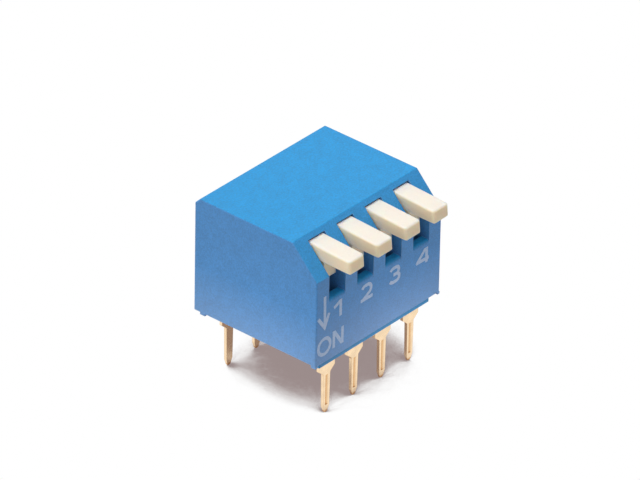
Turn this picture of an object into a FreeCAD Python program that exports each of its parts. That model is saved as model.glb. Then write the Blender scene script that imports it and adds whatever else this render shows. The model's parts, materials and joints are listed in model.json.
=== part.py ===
"""Right angle (piano key) DIP switch with four positions.

A moulded cover with a sloping nose holds four rocker levers in four channels. Each lever turns
on two moulded trunnions and carries a bridging contact on its foot. The base is moulded round
eight stamped terminals, and closes the cover from below.

Units are millimetres. X runs along the row of levers, position 1 at -X. The levers face -Y.
The origin is the centre of the eight terminals' grid, on the board that the terminals' shoulders
stand on, and +Z points away from the board.
"""

import FreeCAD
import Part
import math
import os

Vector = FreeCAD.Vector

# Grid of the terminals
positions = 4
pitch = 2.54
row_span = 7.62

# Cover, outside
end_wall = 1.11
front_overhang = 0.77
rear_overhang = 1.16
cover_height = 7.85
standoff = 1.22
nose_height = 5.80
nose_depth = 1.95
rear_bevel = 0.42
edge_round = 0.10
foot_height = 0.16
foot_width = 0.18
front_foot_length = 0.36
rear_foot_length = 0.38
rear_foot_inset = 0.50

# Cover, inside
slot_width = 1.48
slot_floor_height = 4.15
slot_lip_round = 0.22
slot_top_land = 0.38
front_wall = 0.60
rear_wall = 0.70
top_wall = 0.84
side_rim = 0.25
rim_margin = 0.05
rim_height = 1.15

# Base
base_drop = 0.60
base_gap = 0.02
base_bevel = 0.08
recess_depth = 0.25
recess_width = 3.0
recess_end_margin = 0.9

# Terminals
strip = 0.20
pin_width = 0.60
pin_end_width = 0.52
pin_length = 3.10
tip_taper = 0.45
tip_width = 0.28
tip_bevel = 0.05
shoulder_width = 1.42
shoulder_taper = 0.34
shoulder_round = 0.14
anchor_height = 0.45
pad_width = 1.10
pad_gap = 0.50
bend_radius = 0.20
groove_width = 0.22
groove_depth = 0.08
groove_end = 0.10

# Pivot of the levers
pivot_inset = 4.18
pivot_height = 4.60
throw = 16.0
trunnion_radius = 0.50
bearing_gap = 0.04
bearing_web = 0.26
trunnion_end_gap = 0.07
saddle_drop = 0.25
post_gap = 0.03

# Lever: key, neck and hub
lever_side_gap = 0.05
key_reach = 1.54
key_tip_height = 7.33
key_thickness = 0.90
key_lean = 0.08
key_sink = 0.11
stop_gap = 0.04
tip_round = 0.22
top_round = 0.13
under_bevel = 0.12
neck_inset = 0.16
neck_drop = 1.18
heel_gap = 0.15
hub_radius = 1.25
hub_sink = 0.02
neck_front_angle = 208.0
neck_rear_angle = 64.0

# Foot of the lever and its contact
foot_half = 0.62
foot_flare_half = 1.00
foot_flare_top = 0.80
foot_flare_bottom = 2.20
contact_strip = 0.12
contact_width = 0.90
contact_arm = 0.75
contact_clearance = 0.04
bead_radius = 0.30
bead_spread = 0.48
bead_depth = 0.24

# How far a cutting shape reaches past a face, and how close counts as the same place
beyond = 1.0
near = 0.001

# Places worked out from the sizes above
half_span = row_span / 2
cover_length = (positions - 1) * pitch + slot_width + 2 * end_wall
cover_front = half_span + front_overhang
cover_rear = half_span + rear_overhang
cover_bottom = standoff
cover_top = cover_bottom + cover_height
nose_edge = cover_bottom + nose_height
nose_rise = cover_top - nose_edge
nose_slope = math.hypot(nose_depth, nose_rise)
base_top = cover_bottom + rim_height
base_bottom = cover_bottom - base_drop
slot_floor = cover_bottom + slot_floor_height
ceiling = cover_top - top_wall
pivot_y = pivot_inset - cover_front
pivot_z = cover_bottom + pivot_height
bearing_radius = trunnion_radius + bearing_gap
bearing_depth = (pitch - slot_width - bearing_web) / 2
rim_half_length = cover_length / 2 - end_wall + bearing_depth + rim_margin
lever_width = slot_width - 2 * lever_side_gap
neck_width = lever_width - 2 * neck_inset
tip_y = -cover_front - key_reach
tip_top = cover_bottom + key_tip_height
key_under = tip_top - key_thickness
pin_tip = -pin_length
foot_bottom = pivot_z - base_top - contact_clearance - bead_depth - contact_strip


def position_x(index):
    """Middle of a lever's channel, counted from position 1 at -X."""
    return (index - (positions - 1) / 2) * pitch


def box(x, y, z):
    """Block between two values on each axis."""
    corner = Vector(min(x), min(y), min(z))
    return Part.makeBox(max(x) - min(x), max(y) - min(y), max(z) - min(z), corner)


def prism(outline, width, middle=0.0):
    """Side outline of (y, z) points, given a width along X about its middle."""
    corners = [Vector(middle - width / 2, y, z) for y, z in outline]
    face = Part.Face(Part.makePolygon(corners + corners[:1]))
    return face.extrude(Vector(width, 0, 0))


def rod(radius, x, y, z):
    """Round bar along X between two values of x."""
    return Part.makeCylinder(radius, max(x) - min(x), Vector(min(x), y, z), Vector(1, 0, 0))


def fused(first, *others):
    """One solid from several that touch or overlap."""
    return first.multiFuse(list(others)).removeSplitter()


def spread(edge, axis):
    """Lowest and highest value of an edge's ends on one axis."""
    values = [getattr(vertex, axis) for vertex in edge.Vertexes]
    return min(values), max(values)


def along_nose(down, inward):
    """(y, z) of a point measured down the nose from its top edge, and square into the cover."""
    run = nose_depth / nose_slope
    rise = nose_rise / nose_slope
    y = nose_depth - cover_front - down * run + inward * rise
    return y, cover_top - down * rise - inward * run


def depth_at(down, z):
    """How far square into the cover a line from a point down the nose comes to a height."""
    return (along_nose(down, 0)[1] - z) * nose_slope / nose_depth


# Cover

def cover_block():
    """Outside of the cover, with its nose in front and a bevel along the rear top edge."""
    outline = [
        (-cover_front, cover_bottom),
        (cover_rear, cover_bottom),
        (cover_rear, cover_top - rear_bevel),
        (cover_rear - rear_bevel, cover_top),
        (nose_depth - cover_front, cover_top),
        (-cover_front, nose_edge),
    ]
    block = prism(outline, cover_length)
    upper = [edge for edge in block.Edges if edge.CenterOfMass.z > cover_bottom + near]
    return block.makeFillet(edge_round, upper)


def cover_feet():
    """Small stand-off feet under the cover's four corners."""
    rear_end = cover_rear - rear_foot_inset
    spans = [(-cover_front, front_foot_length - cover_front), (rear_end - rear_foot_length, rear_end)]
    feet = []
    for side in (-1, 1):
        outer = side * cover_length / 2
        for span in spans:
            x = (outer, outer - side * foot_width)
            feet.append(box(x, span, (cover_bottom - foot_height, cover_bottom)))
    return feet


def channel(middle):
    """Room for one lever: a slot through the nose and front wall, open to the chamber behind."""
    inner_front = front_wall - cover_front
    inner_rear = cover_rear - rear_wall
    outline = [
        (inner_front, base_top),
        (inner_front, slot_floor),
        (-cover_front - beyond, slot_floor),
        (-cover_front - beyond, cover_top + beyond),
        along_nose(slot_top_land, -beyond),
        along_nose(slot_top_land, depth_at(slot_top_land, ceiling)),
        (inner_rear, ceiling),
        (inner_rear, base_top),
    ]
    return prism(outline, slot_width, middle)


def bearing_span(middle, side, end_gap=0.0):
    """X values between a channel's wall and the bottom of its bearing, less a gap at both ends."""
    wall = middle + side * slot_width / 2
    return wall + side * end_gap, wall + side * (bearing_depth - end_gap)


def bearing_slot(middle, side):
    """U slot that a trunnion is pushed up into, open at the bottom of the partition."""
    x = bearing_span(middle, side)
    y = (pivot_y - bearing_radius, pivot_y + bearing_radius)
    return box(x, y, (base_top, pivot_z)).fuse(rod(bearing_radius, x, pivot_y, pivot_z))


def on_slot_lip(edge):
    """Whether an edge is the front edge of a slot's floor."""
    centre = edge.CenterOfMass
    in_front = abs(centre.y + cover_front) < near
    return in_front and abs(centre.z - slot_floor) < near


def make_cover():
    """Cover with its four channels, eight bearing slots, rim for the base, and feet."""
    rim_x = (-rim_half_length, rim_half_length)
    rim_y = (side_rim - cover_front, cover_rear - side_rim)
    cuts = [box(rim_x, rim_y, (cover_bottom, base_top))]
    for index in range(positions):
        middle = position_x(index)
        cuts.append(channel(middle))
        cuts += [bearing_slot(middle, side) for side in (-1, 1)]
    body = cover_block().cut(cuts)
    body = body.makeFillet(slot_lip_round, [edge for edge in body.Edges if on_slot_lip(edge)])
    return fused(body, *cover_feet())


# Base

def saddle_post(middle, side):
    """Post of the base that fills a bearing slot and carries the trunnion on its hollow top."""
    half = bearing_radius - post_gap
    x = bearing_span(middle, side, post_gap)
    post = box(x, (pivot_y - half, pivot_y + half), (base_top, pivot_z - saddle_drop))
    return post.cut(rod(bearing_radius, x, pivot_y, pivot_z))


def make_base(terminals):
    """Base plate moulded round the terminals, with bevelled lower edges and saddle posts."""
    half_x = rim_half_length - base_gap
    front = side_rim + base_gap - cover_front
    rear = cover_rear - side_rim - base_gap
    plate = box((-half_x, half_x), (front, rear), (base_bottom, base_top))
    lower = [edge for edge in plate.Edges if spread(edge, "Z")[1] < base_bottom + near]
    plate = plate.makeChamfer(base_bevel, lower)
    recess_x = half_x - recess_end_margin
    recess_y = (-recess_width / 2, recess_width / 2)
    recess = box((-recess_x, recess_x), recess_y, (base_bottom, base_bottom + recess_depth))
    posts = []
    for index in range(positions):
        posts += [saddle_post(position_x(index), side) for side in (-1, 1)]
    return fused(plate.cut(recess), *posts).cut(terminals)


# Terminals, drawn in the front row with the outer face towards -Y

terminal_outer = -half_span - strip / 2


def terminal_outline():
    """Front view of a terminal's upright: rounded tip, tapered pin, shoulder and anchor."""
    pin = pin_width / 2
    pin_end = pin_end_width / 2
    tip = tip_width / 2
    shoulder = shoulder_width / 2
    pad = pad_width / 2
    anchor_top = base_bottom + anchor_height
    bend_start = base_top - strip - bend_radius
    right = [
        (tip, pin_tip + tip / 2),
        (pin_end, pin_tip + tip_taper),
        (pin, -shoulder_taper),
        (shoulder, 0),
        (shoulder, anchor_top),
        (pad, anchor_top),
        (pad, bend_start),
    ]
    corners = [Vector(x, terminal_outer, z) for x, z in right]
    corners += [Vector(-x, terminal_outer, z) for x, z in reversed(right)]
    sides = Part.makePolygon(corners)
    end = Part.Arc(corners[-1], Vector(0, terminal_outer, pin_tip), corners[0]).toShape()
    return Part.Face(Part.Wire(sides.Edges + [end]))


def terminal_upright():
    """Upright of a terminal: its outline in sheet, thinned at the tip, with rounded shoulder roots."""
    upright = terminal_outline().extrude(Vector(0, strip, 0))
    roots = [edge for edge in upright.Edges if on_shoulder_root(edge)]
    upright = upright.makeFillet(shoulder_round, roots)
    inner = terminal_outer + strip
    side_outline = [
        (terminal_outer, base_top),
        (terminal_outer, pin_tip + tip_taper),
        (terminal_outer + tip_bevel, pin_tip),
        (inner - tip_bevel, pin_tip),
        (inner, pin_tip + tip_taper),
        (inner, base_top),
    ]
    return upright.common(prism(side_outline, 2 * shoulder_width))


def on_shoulder_root(edge):
    """Whether an edge runs through the sheet where a shoulder's taper meets the pin."""
    low_y, high_y = spread(edge, "Y")
    return high_y - low_y > near and abs(edge.CenterOfMass.z + shoulder_taper) < near


def terminal_bend():
    """Quarter bend from the upright to the pad."""
    x = (-pad_width / 2, pad_width / 2)
    reach = bend_radius + strip
    centre_y = terminal_outer + reach
    centre_z = base_top - reach
    ring = rod(reach, x, centre_y, centre_z).cut(rod(bend_radius, x, centre_y, centre_z))
    return ring.common(box(x, (terminal_outer, centre_y), (centre_z, base_top)))


def terminal_groove():
    """V groove coined down the pin's outer face."""
    top = -shoulder_taper - groove_end
    bottom = pin_tip + tip_taper + groove_end
    corners = [
        Vector(-groove_width / 2, terminal_outer, bottom),
        Vector(0, terminal_outer + groove_depth, bottom),
        Vector(groove_width / 2, terminal_outer, bottom),
    ]
    return Part.Face(Part.makePolygon(corners + corners[:1])).extrude(Vector(0, 0, top - bottom))


def make_terminal(middle, row, pad_end):
    """Stamped terminal: pin, shoulder and upright, bent inwards to a flat pad on the base.

    row is -1 in front and 1 behind. pad_end is the y that the pad reaches.
    """
    pad_y = (terminal_outer + bend_radius + strip, -row * pad_end)
    pad = box((-pad_width / 2, pad_width / 2), pad_y, (base_top - strip, base_top))
    terminal = fused(terminal_upright(), terminal_bend(), pad).cut(terminal_groove())
    if row > 0:
        terminal = terminal.mirror(Vector(0, 0, 0), Vector(0, 1, 0))
    terminal.translate(Vector(middle, 0, 0))
    return terminal


# Levers, drawn about the middle of a channel

def on_tip(edge):
    """Whether an edge stands upright at the end of the key."""
    low_z, high_z = spread(edge, "Z")
    return spread(edge, "Y")[1] < tip_y + key_lean + near and high_z - low_z > near


def on_key_top(edge, rear_y):
    """Whether an edge bounds the key's top face, apart from the one at its rear."""
    return spread(edge, "Z")[0] > tip_top - near and spread(edge, "Y")[0] < rear_y - near


def on_key_underside(edge, rear_y):
    """Whether an edge bounds the key's underside, apart from the one at its rear."""
    return spread(edge, "Z")[1] < key_under + near and spread(edge, "Y")[0] < rear_y - near


def key_bar():
    """Key of a lever when it is up: the bar that is pressed, from its tip to its root."""
    down = slot_top_land + stop_gap
    rear_top = along_nose(down, key_sink)
    rear_under = along_nose(down, depth_at(down, key_under))
    outline = [
        rear_top,
        (tip_y + key_lean, tip_top),
        (tip_y, key_under),
        rear_under,
    ]
    bar = prism(outline, lever_width)
    bar = bar.makeFillet(tip_round, [edge for edge in bar.Edges if on_tip(edge)])
    bar = bar.makeFillet(top_round, [edge for edge in bar.Edges if on_key_top(edge, rear_top[0])])
    return bar.makeChamfer(under_bevel, [edge for edge in bar.Edges if on_key_underside(edge, rear_under[0])])


def on_hub(angle):
    """(y, z) of a point just inside the hub's surface, at an angle from the y axis."""
    radius = hub_radius - hub_sink
    turn = math.radians(angle)
    return pivot_y + radius * math.cos(turn), pivot_z + radius * math.sin(turn)


def neck():
    """Neck between the key and the hub, narrower than the key, with a heel behind the front wall."""
    middle_z = tip_top - key_thickness / 2
    bottom = key_under - neck_drop
    front_y = front_wall - cover_front
    heel_rise = heel_gap * math.tan(math.radians(throw))
    down = slot_top_land + stop_gap
    outline = [
        (front_y, middle_z),
        (front_y, bottom),
        (front_y + heel_gap, bottom - heel_rise),
        on_hub(neck_front_angle),
        on_hub(neck_rear_angle),
        along_nose(down, depth_at(down, key_under)),
        along_nose(down, depth_at(down, middle_z)),
    ]
    return prism(outline, neck_width)


def at_rest(shape):
    """Turns what is drawn with the key pressed back to where it is with the key up."""
    shape.rotate(Vector(0, pivot_y, pivot_z), Vector(1, 0, 0), -throw)
    return shape


def make_lever(middle):
    """Rocker lever: key, neck, hub with two trunnions, and the foot that carries the contact."""
    half = lever_width / 2
    trunnion_half = slot_width / 2 + bearing_depth - trunnion_end_gap
    hub = rod(hub_radius, (-half, half), pivot_y, pivot_z)
    trunnions = rod(trunnion_radius, (-trunnion_half, trunnion_half), pivot_y, pivot_z)
    foot_outline = [
        (-foot_flare_half, -foot_flare_top),
        (-foot_half, -foot_flare_bottom),
        (-foot_half, -foot_bottom),
        (foot_half, -foot_bottom),
        (foot_half, -foot_flare_bottom),
        (foot_flare_half, -foot_flare_top),
    ]
    foot = prism([(pivot_y + y, pivot_z + z) for y, z in foot_outline], lever_width)
    lever = fused(key_bar(), neck(), hub, trunnions, at_rest(foot))
    lever.translate(Vector(middle, 0, 0))
    return lever


def make_contact(middle):
    """Bridging contact: a clip round the lever's foot with two pressed beads below."""
    half = foot_half + contact_strip
    x = (-contact_width / 2, contact_width / 2)
    top = pivot_z - foot_bottom
    plate = box(x, (pivot_y - half, pivot_y + half), (top - contact_strip, top))
    arms = []
    for side in (-1, 1):
        inner = pivot_y + side * foot_half
        arms.append(box(x, (inner, inner + side * contact_strip), (top - contact_strip, top + contact_arm)))
    beads = []
    hollows = []
    bead_z = top - contact_strip - bead_depth + bead_radius
    below = box(x, (pivot_y - half, pivot_y + half), (top - contact_strip - bead_depth, top))
    for side in (-1, 1):
        bead_y = pivot_y + side * bead_spread
        beads.append(rod(bead_radius, x, bead_y, bead_z).common(below))
        hollows.append(rod(bead_radius - contact_strip, x, bead_y, bead_z).common(below))
    contact = at_rest(fused(plate, *arms, *beads).cut(hollows))
    contact.translate(Vector(middle, 0, 0))
    return contact


def build():
    """Every piece by the name of its file."""
    pieces = {}
    pad_ends = {-1: pivot_y - pad_gap / 2, 1: pivot_y + pad_gap / 2}
    rows = {-1: "front_terminal", 1: "rear_terminal"}
    for index in range(positions):
        middle = position_x(index)
        number = index + 1
        for row, name in rows.items():
            pieces[f"{name}_{number}"] = make_terminal(middle, row, pad_ends[row])
    terminals = list(pieces.values())
    pieces["base"] = make_base(terminals)
    pieces["cover"] = make_cover()
    for index in range(positions):
        middle = position_x(index)
        number = index + 1
        pieces[f"lever_{number}"] = make_lever(middle)
        pieces[f"contact_spring_{number}"] = make_contact(middle)
    return pieces


os.makedirs("parts", exist_ok=True)
for name, shape in build().items():
    shape.exportStep(f"parts/{name}.step")
    print(name, shape.isValid(), len(shape.Solids), round(shape.Volume, 4))
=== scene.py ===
"""Finishes, printed legends and studio stage for a four position right angle DIP switch.

Units are metres, in the part's own frame: X runs along the row of levers with position 1 at -X,
the levers face -Y, and +Z points away from the board. The file is laid out as an add-on.
"""

import json
import math

import bmesh
import bpy
from bpy.props import FloatProperty, FloatVectorProperty, PointerProperty
from mathutils import Matrix, Vector


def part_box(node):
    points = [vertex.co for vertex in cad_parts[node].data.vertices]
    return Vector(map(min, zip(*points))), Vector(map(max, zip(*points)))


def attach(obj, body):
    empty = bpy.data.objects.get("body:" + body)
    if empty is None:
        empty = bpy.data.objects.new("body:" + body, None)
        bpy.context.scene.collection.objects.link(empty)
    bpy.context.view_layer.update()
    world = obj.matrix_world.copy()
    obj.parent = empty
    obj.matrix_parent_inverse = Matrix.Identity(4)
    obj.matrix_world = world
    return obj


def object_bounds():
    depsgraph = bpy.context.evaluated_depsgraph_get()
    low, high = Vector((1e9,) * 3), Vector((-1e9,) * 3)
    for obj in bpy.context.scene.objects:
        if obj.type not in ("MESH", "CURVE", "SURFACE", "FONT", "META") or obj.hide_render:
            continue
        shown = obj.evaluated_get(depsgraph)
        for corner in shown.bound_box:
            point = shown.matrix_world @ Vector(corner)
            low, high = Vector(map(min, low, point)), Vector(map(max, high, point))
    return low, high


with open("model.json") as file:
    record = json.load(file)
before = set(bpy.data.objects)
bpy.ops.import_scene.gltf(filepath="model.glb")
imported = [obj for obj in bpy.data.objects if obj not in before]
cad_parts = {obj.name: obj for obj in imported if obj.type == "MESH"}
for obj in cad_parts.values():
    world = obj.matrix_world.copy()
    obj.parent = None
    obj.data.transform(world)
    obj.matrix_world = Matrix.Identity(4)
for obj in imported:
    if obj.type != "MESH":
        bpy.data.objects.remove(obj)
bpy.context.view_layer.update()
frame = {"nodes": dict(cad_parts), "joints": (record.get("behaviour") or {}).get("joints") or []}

bl_info = {
    "name": "Right angle DIP switch",
    "version": (1, 0, 0),
    "blender": (4, 5, 0),
    "location": "View3D > Sidebar > DIP switch",
    "description": "Moulded plastic, gold plate, printed legends and a studio stage for a DIP switch",
    "category": "Object",
}

MM = 0.001
WHITE = (1.0, 1.0, 1.0, 1.0)
NODES = frame["nodes"]
NUMBERS = range(1, len(frame["joints"]) + 1)

# The front face, which carries the legends. Its height is measured from the cover's lower edge
COVER_HEIGHT = 7.85 * MM
FACE_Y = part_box("cover")[0].y
FACE_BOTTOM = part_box("cover")[1].z - COVER_HEIGHT
FLOOR_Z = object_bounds()[0][2]


# Properties

class DipFinishSettings(bpy.types.PropertyGroup):
    """Colours and textures of the materials."""

    cover_colour: FloatVectorProperty(
        name="Cover", description="Blue of the moulded cover", subtype="COLOR",
        size=3, min=0, max=1, default=(0.016, 0.315, 0.70))
    # Painted shade and sheen: the upright faces get a darker, redder blue that stands in for the light
    # they lack and the floor they reflect.
    cover_shaded_sides: FloatVectorProperty(
        name="Cover's sides", description="Blue of the cover's upright faces", subtype="COLOR",
        size=3, min=0, max=1, default=(0.074, 0.286, 0.645))
    # Painted light: white mixed into the cover's faces near its lower edge stands in for light thrown
    # up from the floor.
    painted_bounce: FloatProperty(
        name="Blush", description="Share of white in the cover's sides at their lower edge",
        min=0, max=1, default=0.09)
    painted_bounce_height: FloatProperty(
        name="Blush height", description="How far up from the cover's lower edge the blush reaches",
        unit="LENGTH", min=0.0001, default=3.4 * MM)
    base_colour: FloatVectorProperty(
        name="Base", description="Blue of the base plate", subtype="COLOR",
        size=3, min=0, max=1, default=(0.035, 0.30, 0.62))
    # Painted shade: a dark blue laid where the base meets the cover, in place of the shade under the
    # cover's edge.
    joint_shade_colour: FloatVectorProperty(
        name="Joint", description="Dark blue of the base where it meets the cover", subtype="COLOR",
        size=3, min=0, max=1, default=(0.01, 0.06, 0.16))
    lever_colour: FloatVectorProperty(
        name="Levers", description="Cream of the moulded levers", subtype="COLOR",
        size=3, min=0, max=1, default=(1.0, 0.875, 0.79))
    # Painted shade and glow: the levers' sides and ends get a darker, warmer cream that stands in for
    # how the light falls on them.
    lever_shaded_sides: FloatVectorProperty(
        name="Levers' sides", description="Warmer cream of the levers' sides and ends", subtype="COLOR",
        size=3, min=0, max=1, default=(1.0, 0.82, 0.62))
    gold_colour: FloatVectorProperty(
        name="Gold plate", description="Gold on the terminals", subtype="COLOR",
        size=3, min=0, max=1, default=(0.95, 0.72, 0.47))
    contact_colour: FloatVectorProperty(
        name="Contacts", description="Gold alloy of the bridging contacts", subtype="COLOR",
        size=3, min=0, max=1, default=(0.88, 0.66, 0.38))
    # Painted shade: brown laid in the grooves of plated pieces, where shade falls.
    groove_shade_colour: FloatVectorProperty(
        name="Grooves", description="Brown in the grooves of plated pieces", subtype="COLOR",
        size=3, min=0, max=1, default=(0.72, 0.42, 0.19))
    # Painted shade and reflection: brown laid along the edges of plated pieces, in place of the dark
    # they reflect.
    edge_shade_colour: FloatVectorProperty(
        name="Sheared edges", description="Brown along the sheared edges of plated pieces",
        subtype="COLOR", size=3, min=0, max=1, default=(0.62, 0.34, 0.16))
    ink_colour: FloatVectorProperty(
        name="Ink", description="Pale ink of the legends", subtype="COLOR",
        size=3, min=0, max=1, default=(0.47, 0.60, 0.82))
    plastic_grain: FloatProperty(
        name="Grain", description="Size of the texture that the mould leaves on plastic",
        unit="LENGTH", min=0.00001, default=0.10 * MM)
    # The same radius sets the width of the painted highlight on moulded edges.
    edge_radius: FloatProperty(
        name="Edge softness", description="Radius over which moulded edges are worn smooth",
        unit="LENGTH", min=0, default=0.05 * MM)


class DipLegendSettings(bpy.types.PropertyGroup):
    """Size of the printed strokes."""

    stroke: FloatProperty(
        name="Stroke", description="Width of a printed stroke",
        unit="LENGTH", min=0.00001, default=0.23 * MM)
    ink_height: FloatProperty(
        name="Ink height", description="How far the ink stands out of the plastic",
        unit="LENGTH", min=0, default=0.008 * MM)


class DipStageSettings(bpy.types.PropertyGroup):
    """Floor, lamps and camera."""

    floor_colour: FloatVectorProperty(
        name="Floor", description="Colour of the paper as it lights the switch", subtype="COLOR",
        size=3, min=0, max=1, default=(0.46, 0.43, 0.42))
    paper_colour: FloatVectorProperty(
        name="Paper", description="Colour of the open paper in the picture and in reflections",
        subtype="COLOR", size=3, min=0, max=1, default=(1.0, 1.0, 1.0))
    # Painted shadow: the colour laid on the paper where it sees little open sky under the switch.
    painted_shadow_colour: FloatVectorProperty(
        name="Shadow", description="Colour of the paper under the switch", subtype="COLOR",
        size=3, min=0, max=1, default=(0.33, 0.265, 0.26))
    floor_radius: FloatProperty(
        name="Floor radius", description="Radius of the round floor",
        unit="LENGTH", min=0.05, default=0.6)
    overhead: FloatProperty(
        name="Overhead lamp", description="Strength of the overhead lamp", min=0, default=1.93)
    side: FloatProperty(
        name="Side lamp", description="Strength of the lamp at the left", min=0, default=0.79)
    front_card: FloatProperty(
        name="Front card", description="Watts from the low card in front", min=0, default=0.0002964)
    left_card: FloatProperty(
        name="Left card", description="Watts from the low card at the left", min=0, default=0.000273)
    dome: FloatProperty(name="Dome", description="Light from all round", min=0, default=0.35)
    camera_azimuth: FloatProperty(
        name="Azimuth", description="Camera's turn about Z, 0 looking along +Y", subtype="ANGLE",
        default=math.radians(-49.810))
    camera_elevation: FloatProperty(
        name="Elevation", description="Camera's height angle above the floor", subtype="ANGLE",
        default=math.radians(32.024))
    camera_roll: FloatProperty(
        name="Roll", description="Camera's turn about its own line of sight", subtype="ANGLE",
        default=math.radians(1.1075))
    camera_distance: FloatProperty(
        name="Distance", description="From the point aimed at to the camera",
        unit="LENGTH", default=0.48707)
    camera_aim: FloatVectorProperty(
        name="Aim", description="Point in the middle of the picture",
        subtype="TRANSLATION", unit="LENGTH", size=3, default=(1.4522 * MM, 1.2691 * MM, 4.3031 * MM))
    camera_lens: FloatProperty(
        name="Lens", description="Focal length in millimetres", default=460.568)
    camera_sensor: FloatProperty(
        name="Sensor", description="Width of the picture in the camera, in millimetres", default=36.0)


# Node trees

def connect(tree, value, socket):
    """Links a node's output into a socket, or gives the socket a plain value."""
    if isinstance(value, bpy.types.NodeSocket):
        tree.links.new(value, socket)
    else:
        socket.default_value = value


def add(tree, kind, inputs=None, **settings):
    """New node with its settings and with its inputs linked or set, by name or number."""
    node = tree.nodes.new("ShaderNode" + kind)
    for name, value in settings.items():
        setattr(node, name, value)
    for name, value in (inputs or {}).items():
        connect(tree, value, node.inputs[name])
    return node


def math_node(tree, operation, first, second=0.0):
    """Output of a Math node on two values."""
    node = add(tree, "Math", operation=operation)
    connect(tree, first, node.inputs[0])
    connect(tree, second, node.inputs[1])
    return node.outputs[0]


def mixed(tree, factor, first, second):
    """Colour between two colours."""
    return add(tree, "Mix", {0: factor, 6: first, 7: second}, data_type="RGBA").outputs[2]


def spread(tree, value, low, high, start=0.0, end=1.0):
    """Value taken from one span to another, and kept within it."""
    inputs = {"Value": value, "From Min": low, "From Max": high, "To Min": start, "To Max": end}
    return add(tree, "MapRange", inputs).outputs["Result"]


def facing_up(tree):
    """How far a face looks up: 1 for a level top, 0 for an upright side and -1 for an underside."""
    return add(tree, "SeparateXYZ", {"Vector": add(tree, "TexCoord").outputs["Normal"]}).outputs["Z"]


def noise(tree, where, size, detail):
    """Noise whose blots are about as large as the given size."""
    scale = math_node(tree, "DIVIDE", 1.0, size)
    return add(tree, "TexNoise", {"Vector": where, "Scale": scale, "Detail": detail}).outputs["Fac"]


def new_group(name, inputs, outputs):
    """Empty node group with named inputs, each with its default, and named outputs."""
    tree = bpy.data.node_groups.new(name, "ShaderNodeTree")
    for label, default in inputs.items():
        socket = tree.interface.new_socket(label, in_out="INPUT", socket_type="NodeSocketFloat")
        socket.default_value = default
    for label, kind in outputs.items():
        tree.interface.new_socket(label, in_out="OUTPUT", socket_type="NodeSocket" + kind)
    return tree, tree.nodes.new("NodeGroupInput").outputs, tree.nodes.new("NodeGroupOutput").inputs


def place_group(tree, name, inputs=None):
    """Outputs of a node group placed in a material."""
    node = add(tree, "Group", node_tree=bpy.data.node_groups[name])
    for label, value in (inputs or {}).items():
        connect(tree, value, node.inputs[label])
    return node.outputs


def make_grain_group():
    """Texture of moulded plastic: a fine height for bump, and a tone with a slower flow in it."""
    tree, given, out = new_group(
        "moulded_grain", {"Grain": 0.07 * MM, "Flow": 0.9 * MM}, {"Height": "Float", "Tone": "Float"})
    where = add(tree, "TexCoord").outputs["Object"]
    flow_share = 0.35
    darkest, palest = 0.47, 0.88
    fine = noise(tree, where, given["Grain"], detail=2.0)
    flow = math_node(tree, "MULTIPLY", noise(tree, where, given["Flow"], detail=3.0), flow_share)
    connect(tree, fine, out["Height"])
    connect(tree, spread(tree, math_node(tree, "ADD", fine, flow), darkest, palest), out["Tone"])


# The mask sets where painted light goes: a highlight on plastic edges and shade on gold edges.
def make_edge_group():
    """Soft edges: a normal that runs round them, and a mask that is 1 on them."""
    tree, given, out = new_group(
        "soft_edges", {"Radius": 0.05 * MM}, {"Normal": "Vector", "Mask": "Float"})
    bevel = add(tree, "Bevel", {"Radius": given["Radius"]}, samples=6)
    face = add(tree, "NewGeometry").outputs["Normal"]
    match = add(tree, "VectorMath", {0: bevel.outputs["Normal"], 1: face}, operation="DOT_PRODUCT")
    flat, rounded = 0.99, 0.80
    connect(tree, bevel.outputs["Normal"], out["Normal"])
    connect(tree, spread(tree, match.outputs["Value"], flat, rounded), out["Mask"])


# The mask sets where painted shade goes: in the gold's grooves and in the base's joint.
def make_crevice_group():
    """Mask that is 1 in grooves and corners, and 0 on open faces."""
    tree, given, out = new_group(
        "crevices", {"Reach": 0.2 * MM, "Open": 0.9, "Closed": 0.5}, {"Mask": "Float"})
    open_sky = add(tree, "AmbientOcclusion", {"Distance": given["Reach"]}, samples=8).outputs["AO"]
    connect(tree, spread(tree, open_sky, given["Open"], given["Closed"]), out["Mask"])


def make_plating_group():
    """Rolled and plated strip: a height with lines along Z, and a tone that changes in patches."""
    tree, given, out = new_group(
        "plated_strip", {"Line": 0.03 * MM, "Patch": 0.5 * MM}, {"Height": "Float", "Tone": "Float"})
    where = add(tree, "TexCoord").outputs["Object"]
    drawn_out = (1.0, 1.0, 0.06)
    drawn = add(tree, "Mapping", {"Vector": where, "Scale": drawn_out}).outputs["Vector"]
    dullest, brightest = 0.35, 0.65
    patches = noise(tree, where, given["Patch"], detail=2.0)
    connect(tree, noise(tree, drawn, given["Line"], detail=2.0), out["Height"])
    connect(tree, spread(tree, patches, dullest, brightest), out["Tone"])


# Materials

def new_material(name):
    """Material with a Principled shader, and its node tree."""
    material = bpy.data.materials.new(name)
    material.use_nodes = True
    return material, material.node_tree, material.node_tree.nodes["Principled BSDF"].inputs


def shade(colour, factor):
    """Colour made lighter or darker, with an alpha of 1."""
    return (*(min(channel * factor, 1.0) for channel in colour), 1.0)


def lighter(colour, share):
    """Colour moved part of the way to white, with an alpha of 1."""
    return (*(channel + (1 - channel) * share for channel in colour), 1.0)


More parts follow.
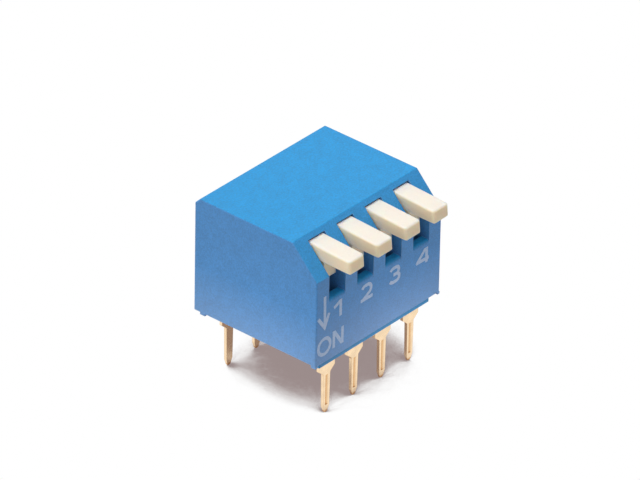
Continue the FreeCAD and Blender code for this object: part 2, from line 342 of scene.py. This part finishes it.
def moulded_plastic(name, colour, shaded_sides, finish, roughness, contrast, edge_highlight):
    """Moulded plastic with grain, slow changes of tone, rounded edges and a painted highlight on them.

    colour is that of the faces that look up; the others take the second colour, as painted shade.
    """
    material, tree, shader = new_material(name)
    steep, nearly_level = 0.35, 0.85
    highlight_white, unevenness = 0.5, 0.05
    upward = spread(tree, facing_up(tree), steep, nearly_level)
    grain = place_group(tree, "moulded_grain", {"Grain": finish.plastic_grain})
    edges = place_group(tree, "soft_edges", {"Radius": finish.edge_radius})
    # Painted shade: faces that don't look up take the second, shaded colour.
    dark = mixed(tree, upward, shade(shaded_sides, 1 - contrast), shade(colour, 1 - contrast))
    pale = mixed(tree, upward, shade(shaded_sides, 1 + contrast), shade(colour, 1 + contrast))
    body = mixed(tree, grain["Tone"], dark, pale)
    # Painted highlight: the edges are mixed toward white.
    lift = math_node(tree, "MULTIPLY", edges["Mask"], edge_highlight)
    connect(tree, mixed(tree, lift, body, lighter(colour, highlight_white)), shader["Base Color"])
    rough = spread(tree, grain["Tone"], 0.0, 1.0, roughness - unevenness, roughness + unevenness)
    connect(tree, rough, shader["Roughness"])
    bump = add(tree, "Bump", {
        "Height": grain["Height"], "Normal": edges["Normal"], "Strength": 0.6, "Distance": 0.004 * MM})
    connect(tree, bump.outputs["Normal"], shader["Normal"])
    shader["Specular IOR Level"].default_value = 0.4
    shader["Specular Tint"].default_value = (1.0, 0.72, 0.75, 1.0)
    return material, shader


def cream_plastic(finish):
    """Cream plastic of the levers, in which light travels a little way."""
    # The levers' sides take the painted side shade, and their edges a full painted highlight.
    material, shader = moulded_plastic(
        "lever_cream", finish.lever_colour, finish.lever_shaded_sides, finish,
        roughness=0.48, contrast=0.02, edge_highlight=1.0)
    shader["Subsurface Weight"].default_value = 0.9
    shader["Subsurface Radius"].default_value = (1.0, 0.8, 0.6)
    shader["Subsurface Scale"].default_value = 0.5 * MM
    return material


def gold_plate(name, colour, finish, roughness):
    """Gold on rolled strip, with fine lines along it, and brown painted shade in its grooves and on its
    edges.

    The painted shade in the grooves and the full metallic gloss leave out the faces that look up.
    """
    material, tree, shader = new_material(name)
    plating = place_group(tree, "plated_strip")
    groove = place_group(tree, "crevices", {"Reach": 0.25 * MM, "Open": 0.97, "Closed": 0.78})
    edges = place_group(tree, "soft_edges", {"Radius": 0.06 * MM})
    steep, nearly_level = 0.6, 0.9
    darker, paler = 0.94, 1.04
    rougher, smoother = 0.06, 0.04
    edge_shade, metallic_on_top = 0.6, 0.3
    sideways = spread(tree, facing_up(tree), steep, nearly_level, 1.0, 0.0)
    # Painted shade: brown is laid in the grooves of upright faces.
    in_groove = math_node(tree, "MULTIPLY", groove["Mask"], sideways)
    # Painted shade and dark reflection: brown is laid along the edges of the plate.
    on_edge = math_node(tree, "MULTIPLY", edges["Mask"], edge_shade)
    plate = mixed(tree, plating["Tone"], shade(colour, darker), shade(colour, paler))
    groove_shaded = mixed(tree, in_groove, plate, (*finish.groove_shade_colour, 1.0))
    worn = mixed(tree, on_edge, groove_shaded, (*finish.edge_shade_colour, 1.0))
    connect(tree, worn, shader["Base Color"])
    rough = spread(tree, plating["Tone"], 0.0, 1.0, roughness + rougher, roughness - smoother)
    connect(tree, rough, shader["Roughness"])
    bump = add(tree, "Bump", {"Height": plating["Height"], "Strength": 0.5, "Distance": 0.001 * MM})
    connect(tree, bump.outputs["Normal"], shader["Normal"])
    connect(tree, spread(tree, sideways, 0.0, 1.0, metallic_on_top, 1.0), shader["Metallic"])
    return material


def printed_ink(finish):
    """Thin pale ink, through which the blue shows in places."""
    material, tree, shader = new_material("legend_ink")
    grain = place_group(tree, "moulded_grain", {"Grain": 0.06 * MM, "Flow": 0.18 * MM})
    thinnest, full, show_through = 0.15, 0.6, 0.35
    paler = 1.2
    thin = spread(tree, grain["Tone"], thinnest, full, show_through, 0.0)
    ink = mixed(tree, thin, (*finish.ink_colour, 1.0), shade(finish.cover_colour, paler))
    connect(tree, ink, shader["Base Color"])
    bump = add(tree, "Bump", {"Height": grain["Height"], "Strength": 0.4, "Distance": 0.002 * MM})
    connect(tree, bump.outputs["Normal"], shader["Normal"])
    shader["Roughness"].default_value = 0.6
    return material


def give_material(names, material):
    """One finish on each of the named CAD nodes."""
    for name in names:
        data = NODES[name].data
        data.materials.clear()
        data.materials.append(material)


def numbered(name):
    """Names of a part's four copies."""
    return [f"{name}_{number}" for number in NUMBERS]


class DIP_OT_make_effects(bpy.types.Operator):
    """Node groups that the materials share."""

    bl_idname = "dip.make_effects"
    bl_label = "Make the shared effects"

    def execute(self, context):
        make_grain_group()
        make_edge_group()
        make_crevice_group()
        make_plating_group()
        return {"FINISHED"}


class DIP_OT_finish_cover(bpy.types.Operator):
    """Blue moulded plastic on the cover."""

    bl_idname = "dip.finish_cover"
    bl_label = "Finish the cover"

    def execute(self, context):
        finish = context.scene.dip_finish
        # The upright faces take the painted side shade, and the edges a painted highlight.
        material, shader = moulded_plastic(
            "cover_blue", finish.cover_colour, finish.cover_shaded_sides, finish,
            roughness=0.50, contrast=0.14, edge_highlight=0.45)
        tree = material.node_tree
        place = add(tree, "TexCoord").outputs["Object"]
        height = add(tree, "SeparateXYZ", {"Vector": place}).outputs["Z"]
        # Painted light: white is mixed in near the lower edge, in place of light thrown up by the
        # floor.
        low = spread(tree, height, FACE_BOTTOM + finish.painted_bounce_height, FACE_BOTTOM, 0.0, finish.painted_bounce)
        body = shader["Base Color"].links[0].from_socket
        connect(tree, mixed(tree, low, body, WHITE), shader["Base Color"])
        give_material(["cover"], material)
        return {"FINISHED"}


class DIP_OT_finish_base(bpy.types.Operator):
    """Blue moulded plastic on the base plate."""

    bl_idname = "dip.finish_base"
    bl_label = "Finish the base"

    def execute(self, context):
        finish = context.scene.dip_finish
        material, shader = moulded_plastic(
            "base_blue", finish.base_colour, finish.base_colour, finish,
            roughness=0.45, contrast=0.04, edge_highlight=0.12)
        tree = material.node_tree
        # Painted shade: dark blue is laid where the base meets the cover, measured from how much open
        # sky each point sees.
        joint_shade = place_group(tree, "crevices", {"Reach": 0.6 * MM, "Open": 0.95, "Closed": 0.55})
        body = shader["Base Color"].links[0].from_socket
        dark = (*finish.joint_shade_colour, 1.0)
        connect(tree, mixed(tree, joint_shade["Mask"], body, dark), shader["Base Color"])
        give_material(["base"], material)
        return {"FINISHED"}


class DIP_OT_finish_levers(bpy.types.Operator):
    """Cream moulded plastic on the four levers."""

    bl_idname = "dip.finish_levers"
    bl_label = "Finish the levers"

    def execute(self, context):
        give_material(numbered("lever"), cream_plastic(context.scene.dip_finish))
        return {"FINISHED"}


class DIP_OT_finish_terminals(bpy.types.Operator):
    """Gold plate on the eight terminals and the four contacts."""

    bl_idname = "dip.finish_terminals"
    bl_label = "Finish the terminals"

    def execute(self, context):
        finish = context.scene.dip_finish
        plate = gold_plate("terminal_gold", finish.gold_colour, finish, roughness=0.24)
        give_material(numbered("front_terminal") + numbered("rear_terminal"), plate)
        alloy = gold_plate("contact_gold", finish.contact_colour, finish, roughness=0.30)
        give_material(numbered("contact_spring"), alloy)
        return {"FINISHED"}


# Legends, drawn in millimetres: x from the middle of the cover, z from its lower edge

# Fewest steps in an arc, degrees in each step, and the gap under which doubled corners are merged
FEWEST_STEPS = 4
DEGREES_PER_STEP = 12
MERGE_GAP = 0.0001


class Pen:
    """Flat nib that draws a stroke of even width.

    Headings are in degrees, 0 to the right and 90 upwards. A positive turn is to the left.
    """

    def __init__(self, width, x, z, heading, cut=None):
        """Puts the nib down. cut is the heading of the stroke's ends, where they aren't square."""
        self.bm = bmesh.new()
        self.half = width / MM / 2
        self.place = Vector((x, 0, z))
        self.heading = math.radians(heading)
        self.cut = math.pi / 2 if cut is None else math.radians(cut - heading)
        left, right = (self.bm.verts.new(self.corner(side)) for side in (1, -1))
        self.nib = self.bm.edges.new((left, right))

    def ahead(self, turn=0.0):
        """Unit vector along the heading, or turned to its left."""
        return Vector((math.cos(self.heading + turn), 0, math.sin(self.heading + turn)))

    def corner(self, side):
        """Where the nib's left or right end is."""
        return self.place + self.ahead(self.cut) * (side * self.half / math.sin(self.cut))

    def line(self, length):
        """Draws straight ahead."""
        moved = bmesh.ops.extrude_edge_only(self.bm, edges=[self.nib])["geom"]
        self.nib = next(item for item in moved if isinstance(item, bmesh.types.BMEdge))
        self.place += self.ahead() * length
        for vert, side in zip(self.nib.verts, (1, -1)):
            vert.co = self.corner(side)
        return self

    def arc(self, radius, turn):
        """Draws round a centre at the nib's left, or at its right for a negative turn."""
        angle = math.radians(turn)
        centre = self.place + self.ahead(math.copysign(math.pi / 2, angle)) * radius
        steps = max(FEWEST_STEPS, round(abs(turn) / DEGREES_PER_STEP))
        last = bmesh.ops.spin(
            self.bm, geom=[*self.nib.verts, self.nib], cent=centre, axis=(0, -1, 0), angle=angle,
            steps=steps, use_merge=abs(turn) == 360, use_duplicate=False)["geom_last"]
        if abs(turn) < 360:
            self.nib = next(item for item in last if isinstance(item, bmesh.types.BMEdge))
        self.place = centre + Matrix.Rotation(angle, 3, (0, -1, 0)) @ (self.place - centre)
        self.heading += angle
        return self

    def turn(self, angle):
        """Turns the pen, with the stroke's corner mitred."""
        half = math.radians(angle) / 2
        for vert, side in zip(self.nib.verts, (1, -1)):
            reach = side * self.half / math.cos(half)
            vert.co = self.place + self.ahead(math.pi / 2 + half) * reach
        self.heading += 2 * half
        return self


def draw_arrow(width):
    """Arrow that points down to ON."""
    left, vertex, right = Vector((-5.48, 3.24)), Vector((-4.89, 2.42)), Vector((-4.52, 3.28))
    down, up = vertex - left, right - vertex
    heading = math.degrees(math.atan2(down.y, down.x))
    turn = math.degrees(math.atan2(up.y, up.x)) - heading
    shaft = Pen(width, -4.92, 4.58, -89).line(1.98)
    head = Pen(width, *left, heading).line(down.length).turn(turn).line(up.length)
    return [shaft, head]


def draw_one(width):
    stem = Pen(width, -3.48, 3.75, -90).line(1.15)
    flag = Pen(width, -3.47, 3.67, -155).line(0.66)
    return [stem, flag]


def draw_two(width):
    bowl = Pen(width, -1.53, 3.47, 55).arc(0.38, -55).line(0.17).arc(0.32, -150).line(0.62)
    foot = Pen(width, -1.65, 2.695, 0).line(1.07)
    return [bowl, foot]


def draw_three(width):
    upper = Pen(width, 1.04, 3.50, 50).arc(0.38, -50).line(0.22).arc(0.235, -180).line(0.24)
    lower = Pen(width, 1.34, 3.165, 0).line(0.25).arc(0.25, -180).line(0.29).arc(0.38, -50)
    return [upper, lower]


def draw_four(width):
    diagonal = Pen(width, 4.28, 3.72, -136, cut=0).line(1.10)
    bar = Pen(width, 3.40, 2.95, 0).line(1.14)
    stem = Pen(width, 4.34, 3.72, -90).line(1.04)
    return [diagonal, bar, stem]


def draw_o(width):
    ring = Pen(width, -4.905, 0.58, 0).arc(0.535, 360)
    return [ring]


def draw_n(width):
    left = Pen(width, -4.045, 0.60, 90).line(1.17)
    slope = Pen(width, -4.045, 1.77, -56.65, cut=0).line(1.4007)
    right = Pen(width, -3.275, 0.60, 90).line(1.17)
    return [left, slope, right]


LEGENDS = {
    "legend_arrow": draw_arrow,
    "legend_1": draw_one,
    "legend_2": draw_two,
    "legend_3": draw_three,
    "legend_4": draw_four,
    "legend_o": draw_o,
    "legend_n": draw_n,
}


def stroke_solid(name, pen, height):
    """Object of one stroke, given its thickness and put in place on the front face."""
    bm = pen.bm
    bmesh.ops.remove_doubles(bm, verts=bm.verts, dist=MERGE_GAP)
    bmesh.ops.scale(bm, vec=(MM, MM, MM), verts=bm.verts)
    moved = bmesh.ops.extrude_face_region(bm, geom=list(bm.faces))["geom"]
    outer = [item for item in moved if isinstance(item, bmesh.types.BMVert)]
    bmesh.ops.translate(bm, vec=(0, -2 * height, 0), verts=outer)
    bmesh.ops.translate(bm, vec=(0, FACE_Y + height, FACE_BOTTOM), verts=bm.verts)
    bmesh.ops.recalc_face_normals(bm, faces=bm.faces)
    mesh = bpy.data.meshes.new(name)
    bm.to_mesh(mesh)
    bm.free()
    piece = bpy.data.objects.new(name, mesh)
    bpy.context.scene.collection.objects.link(piece)
    return piece


def united(piece, others):
    """Joins overlapping solids into the first."""
    for other in others:
        union = piece.modifiers.new("union", "BOOLEAN")
        union.operation = "UNION"
        union.solver = "EXACT"
        union.object = other
    evaluated = piece.evaluated_get(bpy.context.evaluated_depsgraph_get())
    mesh = bpy.data.meshes.new_from_object(evaluated)
    piece.modifiers.clear()
    piece.data = mesh
    mesh.name = piece.name
    for other in others:
        bpy.data.objects.remove(other)
    return piece


class DIP_OT_print_legends(bpy.types.Operator):
    """Arrow, numbers and ON, printed on the front face."""

    bl_idname = "dip.print_legends"
    bl_label = "Print the legends"

    def execute(self, context):
        legend = context.scene.dip_legend
        ink = printed_ink(context.scene.dip_finish)
        for name, draw in LEGENDS.items():
            strokes = [
                stroke_solid(f"{name}_{index}", pen, legend.ink_height)
                for index, pen in enumerate(draw(legend.stroke))
            ]
            piece = united(strokes[0], strokes[1:])
            piece.name = name
            piece.data.materials.clear()
            piece.data.materials.append(ink)
            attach(piece, "housing")
        return {"FINISHED"}


# Stage

# How near to the camera and how far from it things show
CLIP_NEAR, CLIP_FAR = 0.01, 10.0


class DIP_OT_set_stage(bpy.types.Operator):
    """Floor, lamps, world and camera."""

    bl_idname = "dip.set_stage"
    bl_label = "Set the stage"

    def execute(self, context):
        stage = context.scene.dip_stage
        make_floor(stage)
        make_sun(
            "overhead", stage.overhead, angle=44, towards=(-0.06, 0.10, 1.0), colour=(1.0, 0.98, 0.95))
        make_sun(
            "side", stage.side, angle=40, towards=(-1.0, 0.15, 0.30), colour=(1.0, 0.92, 0.84))
        make_card("front_card", stage.front_card, place=(1.5, -8.6), target=(0, -4.6))
        make_card("left_card", stage.left_card, place=(-12, -1), target=(-5.7, -3))
        make_world(stage)
        make_camera(stage)
        context.scene.view_settings.view_transform = "Standard"
        return {"FINISHED"}


def make_floor(stage):
    """Round sheet of paper under the terminals' tips.

    The picture and reflections show it white, with a painted shadow that is darker where the switch
    covers it and the paper sees little open sky. It lights the switch with its own, greyer colour. The
    painted shadow is measured along a line that leans to the left, so it lies more to the right.
    """
    mesh = bpy.data.meshes.new("floor")
    bm = bmesh.new()
    bmesh.ops.create_circle(bm, cap_ends=True, segments=96, radius=stage.floor_radius)
    bmesh.ops.translate(bm, vec=(0, 0, FLOOR_Z), verts=bm.verts)
    bm.to_mesh(mesh)
    bm.free()
    floor = bpy.data.objects.new("floor", mesh)
    bpy.context.scene.collection.objects.link(floor)
    material, tree, shader = new_material("paper")
    ray = add(tree, "LightPath").outputs
    seen = math_node(tree, "MAXIMUM", ray["Is Camera Ray"], ray["Is Glossy Ray"])
    reach, covered, uncovered = 40 * MM, 0.46, 0.55
    leaning = add(tree, "CombineXYZ", {"X": -0.22, "Z": 0.976}).outputs["Vector"]
    # Painted shadow: the paper's seen colour goes from the shadow colour to white with how much open
    # sky it sees.
    sky = add(tree, "AmbientOcclusion", {"Distance": reach, "Normal": leaning}, samples=32)
    light = spread(tree, sky.outputs["AO"], covered, uncovered)
    picture = mixed(tree, light, (*stage.painted_shadow_colour, 1), (*stage.paper_colour, 1))
    connect(tree, mixed(tree, seen, (*stage.floor_colour, 1), (0, 0, 0, 1)), shader["Base Color"])
    shader["Roughness"].default_value = 1.0
    shader["Specular IOR Level"].default_value = 0.0
    connect(tree, picture, shader["Emission Color"])
    connect(tree, seen, shader["Emission Strength"])
    mesh.materials.append(material)


def make_sun(name, energy, angle, towards, colour):
    """Soft lamp, far away in one direction. angle is its width in degrees."""
    sun = bpy.data.lights.new(name, "SUN")
    sun.energy = energy
    sun.angle = math.radians(angle)
    sun.color = colour
    lamp = bpy.data.objects.new(name, sun)
    lamp.rotation_euler = Vector(towards).to_track_quat("Z", "Y").to_euler()
    bpy.context.scene.collection.objects.link(lamp)


def make_card(name, energy, place, target):
    """Small soft lamp just above the paper, turned to a face of the switch to light its lower part.

    place and target are (x, y) in millimetres.
    """
    diameter, lift, target_height = 9 * MM, 1 * MM, 6 * MM
    card = bpy.data.lights.new(name, "AREA")
    card.shape = "DISK"
    card.size = diameter
    card.energy = energy
    card.color = (1.0, 0.93, 0.92)
    lamp = bpy.data.objects.new(name, card)
    lamp.location = (place[0] * MM, place[1] * MM, FLOOR_Z + lift)
    aim = Vector((target[0] * MM, target[1] * MM, FLOOR_Z + target_height))
    lamp.rotation_euler = (lamp.location - aim).to_track_quat("Z", "Y").to_euler()
    lamp.visible_camera = False
    lamp.visible_glossy = False
    bpy.context.scene.collection.objects.link(lamp)


def make_world(stage):
    """Even light from all round, which the picture and reflections show as white."""
    world = bpy.data.worlds.new("studio")
    bpy.context.scene.world = world
    world.use_nodes = True
    tree = world.node_tree
    background = tree.nodes["Background"].inputs
    background["Color"].default_value = WHITE
    ray = add(tree, "LightPath").outputs
    seen = math_node(tree, "MAXIMUM", ray["Is Camera Ray"], ray["Is Glossy Ray"])
    connect(tree, spread(tree, seen, 0.0, 1.0, stage.dome, 1.0), background["Strength"])


def make_camera(stage):
    """Long lens at the photograph's angle."""
    azimuth, elevation = stage.camera_azimuth, stage.camera_elevation
    back = Vector((
        math.sin(azimuth) * math.cos(elevation),
        -math.cos(azimuth) * math.cos(elevation),
        math.sin(elevation),
    ))
    level = back.to_track_quat("Z", "Y").to_matrix()
    roll = Matrix.Rotation(stage.camera_roll, 3, "Z")
    place = (level @ roll).to_4x4()
    place.translation = Vector(stage.camera_aim) + back * stage.camera_distance
    data = bpy.data.cameras.new("camera")
    data.lens = stage.camera_lens
    data.sensor_width = stage.camera_sensor
    data.clip_start = CLIP_NEAR
    data.clip_end = CLIP_FAR
    camera = bpy.data.objects.new("camera", data)
    camera.matrix_world = place
    bpy.context.scene.collection.objects.link(camera)
    bpy.context.scene.camera = camera


# Add-on

class DIP_PT_panel(bpy.types.Panel):
    """Lists the steps that dress the switch, with their sizes and colours."""

    bl_idname = "DIP_PT_panel"
    bl_label = "DIP switch"
    bl_space_type = "VIEW_3D"
    bl_region_type = "UI"
    bl_category = "DIP switch"

    def draw(self, context):
        for step in STEPS:
            self.layout.operator(step.bl_idname)
        for group in (context.scene.dip_finish, context.scene.dip_legend, context.scene.dip_stage):
            box = self.layout.box()
            for name in type(group).__annotations__:
                box.prop(group, name)


SETTINGS = (DipFinishSettings, DipLegendSettings, DipStageSettings)

STEPS = (
    DIP_OT_make_effects,
    DIP_OT_finish_cover,
    DIP_OT_finish_base,
    DIP_OT_finish_levers,
    DIP_OT_finish_terminals,
    DIP_OT_print_legends,
    DIP_OT_set_stage,
)


def register():
    for entry in (*SETTINGS, *STEPS, DIP_PT_panel):
        bpy.utils.register_class(entry)
    bpy.types.Scene.dip_finish = PointerProperty(type=DipFinishSettings)
    bpy.types.Scene.dip_legend = PointerProperty(type=DipLegendSettings)
    bpy.types.Scene.dip_stage = PointerProperty(type=DipStageSettings)


def unregister():
    del bpy.types.Scene.dip_stage
    del bpy.types.Scene.dip_legend
    del bpy.types.Scene.dip_finish
    for entry in reversed((*SETTINGS, *STEPS, DIP_PT_panel)):
        bpy.utils.unregister_class(entry)


def main():
    register()
    bpy.ops.dip.make_effects()
    bpy.ops.dip.finish_cover()
    bpy.ops.dip.finish_base()
    bpy.ops.dip.finish_levers()
    bpy.ops.dip.finish_terminals()
    bpy.ops.dip.print_legends()
    bpy.ops.dip.set_stage()


if __name__ == "__main__":
    main()
